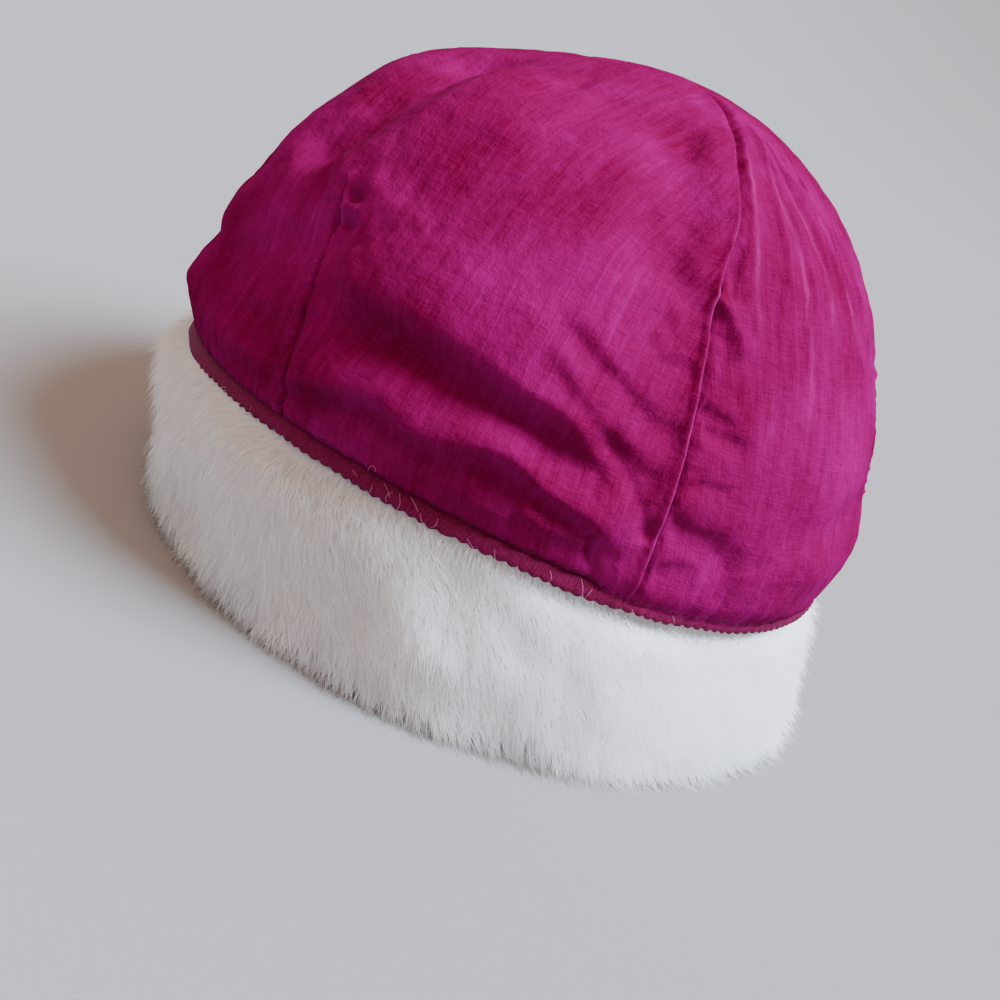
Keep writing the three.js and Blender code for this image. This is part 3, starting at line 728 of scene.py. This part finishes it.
rim = {
    "width": 198, "length": 212.5,
    "wall": 14.5, "footWidth": 7.5, "lean": 6,
    "tuck": 6.5, "topWall": 9,
    "columns": 480,
    "lump": 1.5, "lumpSize": 24,
}

rimOutline = [                           # inset, height, lean, from the floor up
    (0.24, 0, 1), (0.09, 0.06, 0.88), (0.01, 0.22, 0.6), (0, 0.46, 0.25), (0.02, 0.68, -0.2),
    (0.1, 0.84, -0.4), (0.24, 0.94, -0.45),
]
rimInside = [(0.2, 0.6), (0.35, 0.4), (0.5, 0.15), (0.7, -0.1), (0.9, -0.05)]    # height, lean


def rimPlace(bearing, inset, height, lean):
    away = inset * rim["wall"]
    points = ellipse(bearing, rim["width"] / 2 - away, rim["length"] / 2 - away, height)
    return leanAway(points, lean * rim["lean"])


# the outer face from its sewn line, down to the foot, as rows of points for each bearing
def rimFace(bearing, steps):
    hem = hemLine(bearing)
    rows = [ringPlace(bearing, -0.4, hem + 1.2)]
    rows += [rimPlace(bearing, inset, height * hem, lean) for inset, height, lean in rimOutline[::-1]]
    rows = np.stack(rows, 1)
    face = np.stack([lineThrough(row, steps) for row in rows])
    face[..., 2] = np.maximum(face[..., 2], 0.15)
    flat = face.reshape(-1, 3)
    down = np.tile(np.linspace(0, 1, steps), len(bearing))
    out = flat * np.array([1, 1, 0]) / np.linalg.norm(flat[:, :2], axis=1, keepdims=True)
    lump = softNoise(flat, rim["lumpSize"], 31) * rim["lump"] + 0.5 * softNoise(flat, 9, 32)
    flat = flat + out * (lump * smooth(down, 0.05, 0.3) * (1 - smooth(down, 0.85, 1)))[:, None]
    return flat.reshape(face.shape)


def rimBody():
    count, steps = rim["columns"], 34
    bearing = np.arange(count) * 360 / count
    hem = hemLine(bearing)
    face = rimFace(bearing, steps)
    foot = rimOutline[0][0] + rim["footWidth"] / rim["wall"]
    flatFoot = np.full(count, 0.02)
    top = hem + edging["height"] + rim["tuck"]
    inner = [rimPlace(bearing, inset, flatFoot, 1) for inset in (0.5, 0.7, foot)]
    inner.append(rimPlace(bearing, (1 + foot) / 2, hem * 0.09, 0.8))
    inner += [rimPlace(bearing, 1, hem * height, lean) for height, lean in rimInside]
    inner += [
        ringPlace(bearing, -rim["topWall"], top - 2.5), ringPlace(bearing, -rim["topWall"] + 1.6, top),
        ringPlace(bearing, -1.8, top), ringPlace(bearing, -0.4, top - 1.8),
        ringPlace(bearing, -0.4, hem + 4.5),
    ]
    inner = np.stack(inner, 1)
    flat = inner.reshape(-1, 3)
    rough = np.repeat([[0, 0, 0, 0.5, 1, 1, 1, 1, 0.8, 0.2, 0, 0, 0, 0]], count, 0).ravel()
    flat = flat + flat * np.array([1, 1, 0]) / 90 * (0.7 * softNoise(flat, 12, 33) * rough)[:, None]
    section = np.concatenate([face, flat.reshape(inner.shape)], 1)
    return meshFrom("furBody", section.reshape(-1, 3), ringQuads(count, section.shape[1]))


pile = {
    "hairs": 104000, "bentShare": 0.32,
    "length": 8.6, "underLength": 6.2, "uneven": 0.6,
    "lift": 50, "settle": 22,            # degrees off the rim at the root and at the tip
    "root": 0.13, "middle": 0.095, "underRoot": 0.15,      # radius
    "tuft": 6.5, "gather": 0.28,
    "comb": 20, "sweep": 20,             # degrees: how the pile is combed, and how far that wanders
    "tuftRange": 62.0,                   # the length down the face that tufts are laid out on
    "pieces": 4,
}
goldenShare, plasticShare = 0.61803398875, 0.7548776      # for even spreads of numbers


def rimTable():
    bearing = np.arange(0, 361, 0.75)
    face = rimFace(bearing, 80)
    down = np.gradient(face, axis=1)
    around = np.gradient(face, axis=0)
    out = np.cross(down, around)
    flip = np.sign((out * (face * np.array([1, 1, 0]))).sum(-1).mean())
    out = out * flip / (np.linalg.norm(out, axis=-1, keepdims=True) + 1e-9)
    down /= np.linalg.norm(down, axis=-1, keepdims=True) + 1e-9
    return face, out, down


def readTable(table, bearing, share):
    x = (bearing % 360) / 0.75
    y = np.clip(share, 0, 1) * (table.shape[1] - 1.001)
    i, j = x.astype(int), y.astype(int)
    fx, fy = (x - i)[:, None], (y - j)[:, None]
    i2 = np.minimum(i + 1, table.shape[0] - 1)
    near = table[i, j] * (1 - fx) * (1 - fy) + table[i2, j] * fx * (1 - fy)
    return near + table[i, j + 1] * (1 - fx) * fy + table[i2, j + 1] * fx * fy


def unit(v):
    return v / (np.linalg.norm(v, axis=1, keepdims=True) + 1e-9)


# a number between 0 and 1 for each cell, the same each time
def scatterCells(x, y, alongX, alongY, size):
    value = np.sin(x * alongX + y * alongY) * size
    return value - np.floor(value)


def furPile():
    table, outTable, downTable = rimTable()
    dice = np.random.default_rng(7)
    count = pile["hairs"]
    bearing = (np.arange(count) * goldenShare % 1) * 360
    share = (np.arange(count) + dice.random(count)) / count
    bearing = (bearing + dice.normal(0, 0.6, count)) % 360
    share = np.clip(share, 0.0, 0.985)

    def hairTips(b, s, length, wander, liftTurn):
        place = readTable(table, b, s)
        out = unit(readTable(outTable, b, s))
        down = unit(readTable(downTable, b, s))
        low = smooth(s, 0.72, 0.95)[:, None]
        down = unit(down * (1 - low) + np.array([0, 0, -1.0]) * low)
        side = np.cross(out, down)
        sweep = np.radians(pile["comb"] + pile["sweep"] * softNoise(place, 30, 41)) + wander
        comb = unit(down * np.cos(sweep)[:, None] + side * np.sin(sweep)[:, None])
        high = 1 - smooth(s, 0.0, 0.16)
        lift1 = np.radians(pile["lift"] * (1 - 0.55 * high)) + liftTurn
        lift2 = np.radians(pile["settle"]) + liftTurn * 0.8
        step = (length * 0.5)[:, None]
        mid = place + (comb * np.cos(lift1)[:, None] + out * np.sin(lift1)[:, None]) * step
        tip = mid + (comb * np.cos(lift2)[:, None] + out * np.sin(lift2)[:, None]) * step
        return place, mid, tip, out

    bent = dice.random(count) < pile["bentShare"] * (0.7 + 0.9 * smooth(share, 0.6, 0.9))
    length = np.where(bent, pile["length"], pile["underLength"])
    length = length * (1 - pile["uneven"] / 2 + pile["uneven"] * dice.random(count))
    length *= 1 - 0.25 * (1 - smooth(share, 0, 0.2))
    wander = dice.normal(0, 0.34, count)
    liftTurn = dice.normal(0, 0.2, count)
    place, mid, tip, out = hairTips(bearing, share, length, wander, liftTurn)
    tuftRange = pile["tuftRange"]
    cellX = np.floor(np.radians(bearing) * meanReach / pile["tuft"])
    cellY = np.floor(share * tuftRange / pile["tuft"] + 0.5 * (cellX % 2))
    jitter = scatterCells(cellX, cellY, 12.9898, 78.233, 43758.5453)
    jitter2 = scatterCells(cellX, cellY, 39.346, 11.135, 24634.6345)
    tuftBearing = np.degrees((cellX + 0.2 + 0.6 * jitter) * pile["tuft"] / meanReach)
    tuftRow = cellY - 0.5 * (cellX % 2) + 0.2 + 0.6 * jitter2
    tuftShare = np.clip(tuftRow * pile["tuft"] / tuftRange, 0, 1)
    tuftWander = 0.5 * (jitter - 0.5)
    tuftMid = hairTips(tuftBearing, tuftShare, length * 1.05, tuftWander, 0.12 * (jitter2 - 0.5))
    pull = pile["gather"] * (0.35 + 0.65 * smooth(share, 0.15, 0.6))
    mid = mid + (tuftMid[1] - mid) * (pull * 0.45)[:, None]
    tip = tip + (tuftMid[2] - tip) * pull[:, None]
    for spots, floor in ((mid, 0.7), (tip, 0.35)):
        under = np.maximum(floor - spots[:, 2], 0)
        spots += (out * np.array([1, 1, 0])) * (under * 0.5)[:, None]
        spots[:, 2] = np.maximum(spots[:, 2], floor)
    root = place - out * 0.5
    root[:, 2] = np.maximum(root[:, 2], 0.3)
    return root, mid, tip, out, bent


# a hair's triangles: rings of three corners from the root up, and the tip as the last corner
hairForms = {
    "bent": [
        (0, 1, 4), (0, 4, 3), (1, 2, 5), (1, 5, 4), (2, 0, 3), (2, 3, 5),
        (3, 4, 6), (4, 5, 6), (5, 3, 6), (2, 1, 0),
    ],
    "plain": [(0, 1, 3), (1, 2, 3), (2, 0, 3), (2, 1, 0)],
}


def hairSet(root, mid, tip, out, bent, first):
    count = len(root)
    run = unit(tip - root)
    side = unit(np.cross(out, run))
    over = np.cross(run, side)
    corners = [(math.cos(a), math.sin(a)) for a in (math.pi / 2, math.pi * 7 / 6, math.pi * 11 / 6)]
    spin = [side * c + over * s for c, s in corners]
    wide = pile["root"] if bent else pile["underRoot"]
    rings = [root + v * wide for v in spin]
    rings += [mid + v * pile["middle"] for v in spin] if bent else []
    vertices = np.stack(rings + [tip], 1).reshape(-1, 3)
    size = len(rings) + 1
    form = np.array(hairForms["bent" if bent else "plain"])
    faces = (form[None] + (np.arange(count) * size)[:, None, None] + first).reshape(-1, 3)
    along = np.tile([0] * 3 + [0.5] * (size - 4) + [1.0], count)
    number = np.repeat(np.arange(count) * plasticShare % 1, size)
    soft = [out * 0.9 + v * 0.1 for v in spin] * ((size - 1) // 3) + [out]
    return vertices, faces, np.stack([number, along], 1), unit(np.stack(soft, 1).reshape(-1, 3))


def hairPiece(name, root, mid, tip, out, bent):
    long = hairSet(root[bent], mid[bent], tip[bent], out[bent], True, 0)
    short = hairSet(root[~bent], mid[~bent], tip[~bent], out[~bent], False, len(long[0]))
    vertices, faces, uv, soft = (np.vstack(pair) for pair in zip(long, short))
    hair = meshFrom(name, vertices, faces, uv)
    hair.data.normals_split_custom_set_from_vertices(soft.tolist())
    return hair


furBody = rimBody()
root, mid, tip, out, bent = furPile()
turnRound = (np.degrees(np.arctan2(root[:, 0], -root[:, 1])) % 360) * pile["pieces"] / 360
pileNames = ["furPileFrontLeft", "furPileBackLeft", "furPileBackRight", "furPileFrontRight"]
furHair = []
for number, name in enumerate(pileNames):
    own = (turnRound >= number) & (turnRound < number + 1)
    furHair.append(hairPiece(name, root[own], mid[own], tip[own], out[own], bent[own]))
print("fur rim made", [len(h.data.polygons) for h in furHair])


# materials

def newMaterial(name):
    material = bpy.data.materials.new(name)
    material.use_nodes = True
    tree = material.node_tree
    shader = tree.nodes["Principled BSDF"]
    return material, tree, shader


def node(tree, kind, **settings):
    made = tree.nodes.new(kind)
    for key, value in settings.items():
        if key in made.inputs:
            made.inputs[key].default_value = value
        else:
            setattr(made, key, value)
    return made


# a number or colour is set on a socket, and another socket's output is linked to it
def feed(tree, socket, value):
    if isinstance(value, bpy.types.NodeSocket):
        tree.links.new(value, socket)
    else:
        socket.default_value = value


def mixColour(tree, factor, low, high):
    mix = node(tree, "ShaderNodeMix", data_type="RGBA")
    for slot, value in ((0, factor), (6, low), (7, high)):
        feed(tree, mix.inputs[slot], value)
    return mix.outputs[2]


def maths(tree, operation, *values):
    made = node(tree, "ShaderNodeMath", operation=operation)
    for slot, value in enumerate(values):
        feed(tree, made.inputs[slot], value)
    return made.outputs[0]


def ranged(tree, value, low, high, newLow=0.0, newHigh=1.0):
    made = node(tree, "ShaderNodeMapRange")
    names = ("Value", "From Min", "From Max", "To Min", "To Max")
    for name, given in zip(names, (value, low, high, newLow, newHigh)):
        feed(tree, made.inputs[name], given)
    return made.outputs[0]


def noise(tree, place, scale, detail, roughness=0.5):
    made = node(tree, "ShaderNodeTexNoise", Scale=scale, Detail=detail, Roughness=roughness)
    tree.links.new(place, made.inputs["Vector"])
    return made.outputs["Fac"]


def bump(tree, height, strength, distance, before=None):
    made = node(tree, "ShaderNodeBump", Strength=strength, Distance=distance)
    tree.links.new(height, made.inputs["Height"])
    if before:
        tree.links.new(before, made.inputs["Normal"])
    return made.outputs[0]


def objectPlace(tree):
    return node(tree, "ShaderNodeTexCoord").outputs["Object"]


def clothPlace(tree):
    return node(tree, "ShaderNodeUVMap", uv_map="along").outputs[0]


def finish(tree, shader, colour, normal, **constants):
    tree.links.new(colour, shader.inputs["Base Color"])
    if normal:
        tree.links.new(normal, shader.inputs["Normal"])
    for name, value in constants.items():
        shader.inputs[name.replace("_", " ")].default_value = value


# threads that run along one way of the cloth, thick and thin by turns
def threadRunGroup():
    group = bpy.data.node_groups.new("threadRun", "ShaderNodeTree")
    group.interface.new_socket("Place", in_out="INPUT", socket_type="NodeSocketVector")
    for name, value in (("Across", 900.0), ("Along", 30.0)):
        socket = group.interface.new_socket(name, in_out="INPUT", socket_type="NodeSocketFloat")
        socket.default_value = value
    group.interface.new_socket("Height", in_out="OUTPUT", socket_type="NodeSocketFloat")
    source, sink = group.nodes.new("NodeGroupInput"), group.nodes.new("NodeGroupOutput")
    parts = node(group, "ShaderNodeSeparateXYZ")
    group.links.new(source.outputs["Place"], parts.inputs[0])
    place = node(group, "ShaderNodeCombineXYZ")
    for slot, (axis, factor) in enumerate((("X", "Across"), ("Y", "Along"))):
        scaled = maths(group, "MULTIPLY", parts.outputs[axis], source.outputs[factor])
        group.links.new(scaled, place.inputs[slot])
    group.links.new(noise(group, place.outputs[0], 1.0, 3.0, 0.6), sink.inputs[0])
    return group


threadRun = threadRunGroup()


def threadNoise(tree, place, across, along):
    run = node(tree, "ShaderNodeGroup", node_tree=threadRun)
    run.inputs["Across"].default_value = across
    run.inputs["Along"].default_value = along
    tree.links.new(place, run.inputs["Place"])
    return run.outputs[0]


taffeta = {
    "dark": (0.112, 0.001, 0.014, 1), "light": (0.258, 0.003, 0.11, 1),
    # painted highlight colours: the first for the seam's edge and the long creases, the second for the
    # thin creases
    "paintedHighlight": (0.36, 0.02, 0.17, 1), "crestHighlight": (0.36, 0.01, 0.2, 1),
    "threads": 2300, "slubs": 520,       # to a metre
    "roughness": 0.62, "sheen": 0.025, "sheenTint": (1.0, 0.2, 0.9, 1),
}


# painted highlights: pale lines along long thin creases that run with the warp and fade in and out
def creaseHighlights(tree, place, patches):
    long = node(tree, "ShaderNodeMapping")
    long.inputs["Scale"].default_value = (120, 7, 1)
    tree.links.new(place, long.inputs["Vector"])
    waves = noise(tree, long.outputs[0], 1.0, 1.0, 0.4)
    away = maths(tree, "ABSOLUTE", maths(tree, "SUBTRACT", waves, 0.5))
    line = ranged(tree, away, 0.0, 0.016, 0.26, 0.0)
    return maths(tree, "MULTIPLY", line, ranged(tree, patches, 0.46, 0.62))


def taffetaMaterial():
    material, tree, shader = newMaterial("magentaTaffeta")
    place, solid = clothPlace(tree), objectPlace(tree)
    warp = threadNoise(tree, place, taffeta["threads"], 170)
    weft = threadNoise(tree, place, 230, taffeta["threads"])
    slubs = threadNoise(tree, place, taffeta["slubs"], 26)
    weave = maths(tree, "MULTIPLY_ADD", slubs, 0.8, maths(tree, "ADD", warp, weft))
    crush = noise(tree, solid, 150.0, 5.0, 0.66)
    cloud = noise(tree, solid, 26.0, 3.0, 0.55)
    tone = maths(tree, "MULTIPLY_ADD", weave, 0.5, maths(tree, "MULTIPLY", cloud, 1.15))
    plain = mixColour(tree, ranged(tree, tone, 0.93, 1.59), taffeta["dark"], taffeta["light"])
    # painted highlights on the thin creases, then, from the attribute, on the seam's edge and the long
    # creases
    withCreaseHighlights = mixColour(tree, creaseHighlights(tree, place, cloud), plain, taffeta["crestHighlight"])
    paintedHighlight = node(tree, "ShaderNodeAttribute", attribute_name="paintedHighlight").outputs["Fac"]
    rough = ranged(tree, crush, 0.0, 1.0, taffeta["roughness"] - 0.06, taffeta["roughness"] + 0.1)
    tree.links.new(rough, shader.inputs["Roughness"])
    threads = bump(tree, weave, 0.4, 0.00014)
    finish(tree, shader, mixColour(tree, paintedHighlight, withCreaseHighlights, taffeta["paintedHighlight"]),
           bump(tree, crush, 0.9, 0.0012, threads), Sheen_Weight=taffeta["sheen"],
           Sheen_Roughness=0.4, Sheen_Tint=taffeta["sheenTint"], Specular_IOR_Level=0.0)
    return material


overlock = {"dark": (0.05, 0.0006, 0.012, 1), "light": (0.19, 0.003, 0.055, 1), "pitch": 0.00105}


def overlockMaterial():
    material, tree, shader = newMaterial("overlockThread")
    turned = node(tree, "ShaderNodeMapping")
    turned.inputs["Rotation"].default_value = (0, 0, math.radians(18))
    tree.links.new(clothPlace(tree), turned.inputs["Vector"])
    scale = 1 / overlock["pitch"] / wholeTurn * 2
    wraps = node(tree, "ShaderNodeTexWave", Scale=scale, Distortion=6.0, Detail=3.0)
    wraps.inputs["Detail Scale"].default_value = 2.0
    tree.links.new(turned.outputs[0], wraps.inputs["Vector"])
    fuzz = noise(tree, objectPlace(tree), 900.0, 3.0)
    mask = maths(tree, "MULTIPLY_ADD", wraps.outputs["Fac"], 0.28, fuzz)
    finish(tree, shader, mixColour(tree, mask, overlock["dark"], overlock["light"]),
           bump(tree, mask, 0.7, 0.0003), Roughness=0.75, Specular_IOR_Level=0.12)
    return material


def threadMaterial(name, dark, light):
    material, tree, shader = newMaterial(name)
    twist = noise(tree, objectPlace(tree), 1400.0, 2.0)
    finish(tree, shader, mixColour(tree, twist, dark, light), bump(tree, twist, 0.6, 0.0001),
           Roughness=0.7, Specular_IOR_Level=0.12)
    return material


fur = {
    "rootTone": (0.9, 0.88, 0.85, 1), "tipTone": (0.97, 0.965, 0.955, 1),
    "shade": (0.93, 0.895, 0.85, 1),
    "clearShare": 0.96,                  # the share of light that passes a hair
}


def hairMaterial():
    material, tree, shader = newMaterial("whiteFurHair")
    parts = node(tree, "ShaderNodeSeparateXYZ")
    tree.links.new(clothPlace(tree), parts.inputs[0])
    ends = ranged(tree, parts.outputs["Y"], 0.0, 0.55)
    cloud = noise(tree, objectPlace(tree), 55.0, 3.0)
    tips = mixColour(tree, cloud, fur["shade"], fur["tipTone"])
    finish(tree, shader, mixColour(tree, ends, fur["rootTone"], tips), None,
           Roughness=0.65, Specular_IOR_Level=0.3)
    thinShadows(tree, shader, fur["clearShare"])
    return material


# light passes through fine white hairs, so their shadows on each other are thin
def thinShadows(tree, shader, share):
    rays = node(tree, "ShaderNodeLightPath").outputs
    soft = maths(tree, "MULTIPLY_ADD", rays["Is Diffuse Ray"], 0.85, rays["Is Shadow Ray"])
    clear = node(tree, "ShaderNodeBsdfTransparent")
    mix = node(tree, "ShaderNodeMixShader")
    tree.links.new(maths(tree, "MULTIPLY", soft, share), mix.inputs[0])
    tree.links.new(shader.outputs[0], mix.inputs[1])
    tree.links.new(clear.outputs[0], mix.inputs[2])
    tree.links.new(mix.outputs[0], tree.nodes["Material Output"].inputs["Surface"])


def furGroundMaterial():
    material, tree, shader = newMaterial("whiteFurGround")
    place = objectPlace(tree)
    cloud, nap = noise(tree, place, 60.0, 4.0), noise(tree, place, 1500.0, 3.0)
    finish(tree, shader, mixColour(tree, cloud, fur["rootTone"], fur["shade"]),
           bump(tree, nap, 0.9, 0.0008), Roughness=0.9, Sheen_Weight=0.4)
    return material


def give(piece, material, slotName, *replaced):
    piece.data.materials.clear()
    piece.data.materials.append(material)
    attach(piece, "root")
    if replaced:
        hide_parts(*replaced)


clothFinish = taffetaMaterial()
edgeFinish = overlockMaterial()
# stitch thread, made near black so that the stitched lines at the darts and hem also paint the shade of
# their grooves
darkThreadAndShade = threadMaterial("darkThreadAndShade", (0.03, 0.001, 0.008, 1), (0.07, 0.003, 0.02, 1))
paleThread = threadMaterial("paleThread", (0.42, 0.06, 0.2, 1), (0.62, 0.22, 0.38, 1))
hairFinish = hairMaterial()
groundFinish = furGroundMaterial()

give(crownLeft, clothFinish, "crown_cloth", "crown_left")
give(crownRight, clothFinish, "crown_cloth", "crown_right")
give(edgeStrip, edgeFinish, "edging", "hem_edging")
give(hemThread, darkThreadAndShade, "edging")
for thread in dartThread:
    give(thread, darkThreadAndShade, "edging")
give(looseEnds, paleThread, "edging")
give(furBody, groundFinish, "fur", "fur_band")
for hair in furHair:
    give(hair, hairFinish, "fur")

print("materials given")


# floor and light

studio = {
    "flat": 1.5, "bend": 1.3,            # the floor's flat disc and the radius of its bend, in metres
    "rings": 33, "turn": math.radians(99),
    "key": 10.2, "keyColour": (0.66, 0.8, 1.0), "keyAngle": 28,
    "ceiling": 0.54, "ceilingColour": (1.0, 0.72, 0.58), "ceilingAngle": 50,
    "sky": 0.9, "skyColour": (1.0, 0.62, 0.43, 1),
}


# a disc whose edge is drawn out and bent up into a bowl
def addFloor():
    bpy.ops.object.select_all(action="DESELECT")
    bpy.ops.mesh.primitive_circle_add(vertices=128, radius=studio["flat"], fill_type="NGON")
    floor = bpy.context.object
    floor.name = "paleFloor"
    bpy.ops.object.mode_set(mode="EDIT")
    bpy.ops.mesh.select_mode(type="EDGE")
    bpy.ops.mesh.select_all(action="SELECT")
    reach, height = studio["flat"], 0.0
    for step in range(1, studio["rings"] + 1):
        turn = step / studio["rings"] * studio["turn"]
        newReach = studio["flat"] + studio["bend"] * math.sin(turn)
        newHeight = studio["bend"] * (1 - math.cos(turn))
        rise = (0, 0, newHeight - height)
        bpy.ops.mesh.extrude_edges_move(TRANSFORM_OT_translate={"value": rise})
        bpy.ops.transform.resize(value=(newReach / reach, newReach / reach, 1))
        reach, height = newReach, newHeight
    bpy.ops.object.mode_set(mode="OBJECT")
    bpy.ops.object.shade_smooth()
    material, tree, shader = newMaterial("paleBackdrop")
    shader.inputs["Base Color"].default_value = (0.32, 0.315, 0.31, 1)
    shader.inputs["Roughness"].default_value = 0.85
    floor.data.materials.append(material)


def addLight(name, towards, energy, angle, colour):
    data = bpy.data.lights.new(name, "SUN")
    data.energy, data.angle, data.color = energy, math.radians(angle), colour
    light = addObject(name, data)
    light.location = Vector((0, 0, 0.08)) + towards
    light.rotation_euler = (-towards).to_track_quat("-Z", "Y").to_euler()


def addLights():
    right, up = Vector(photoView["right"]), Vector(photoView["up"])
    toCamera = right.cross(up)
    window = right * 0.9 + up * 0.42 + toCamera * 0.42
    addLight("windowLight", window, studio["key"], studio["keyAngle"], studio["keyColour"])
    above = Vector((0.25, 0.35, 1))
    addLight("ceilingLight", above, studio["ceiling"], studio["ceilingAngle"], studio["ceilingColour"])
    world = bpy.data.worlds.new("softSky")
    world.use_nodes = True
    background = world.node_tree.nodes["Background"].inputs
    background[0].default_value, background[1].default_value = studio["skyColour"], studio["sky"]
    bpy.context.scene.world = world


addFloor()
addLights()
print("studio set")
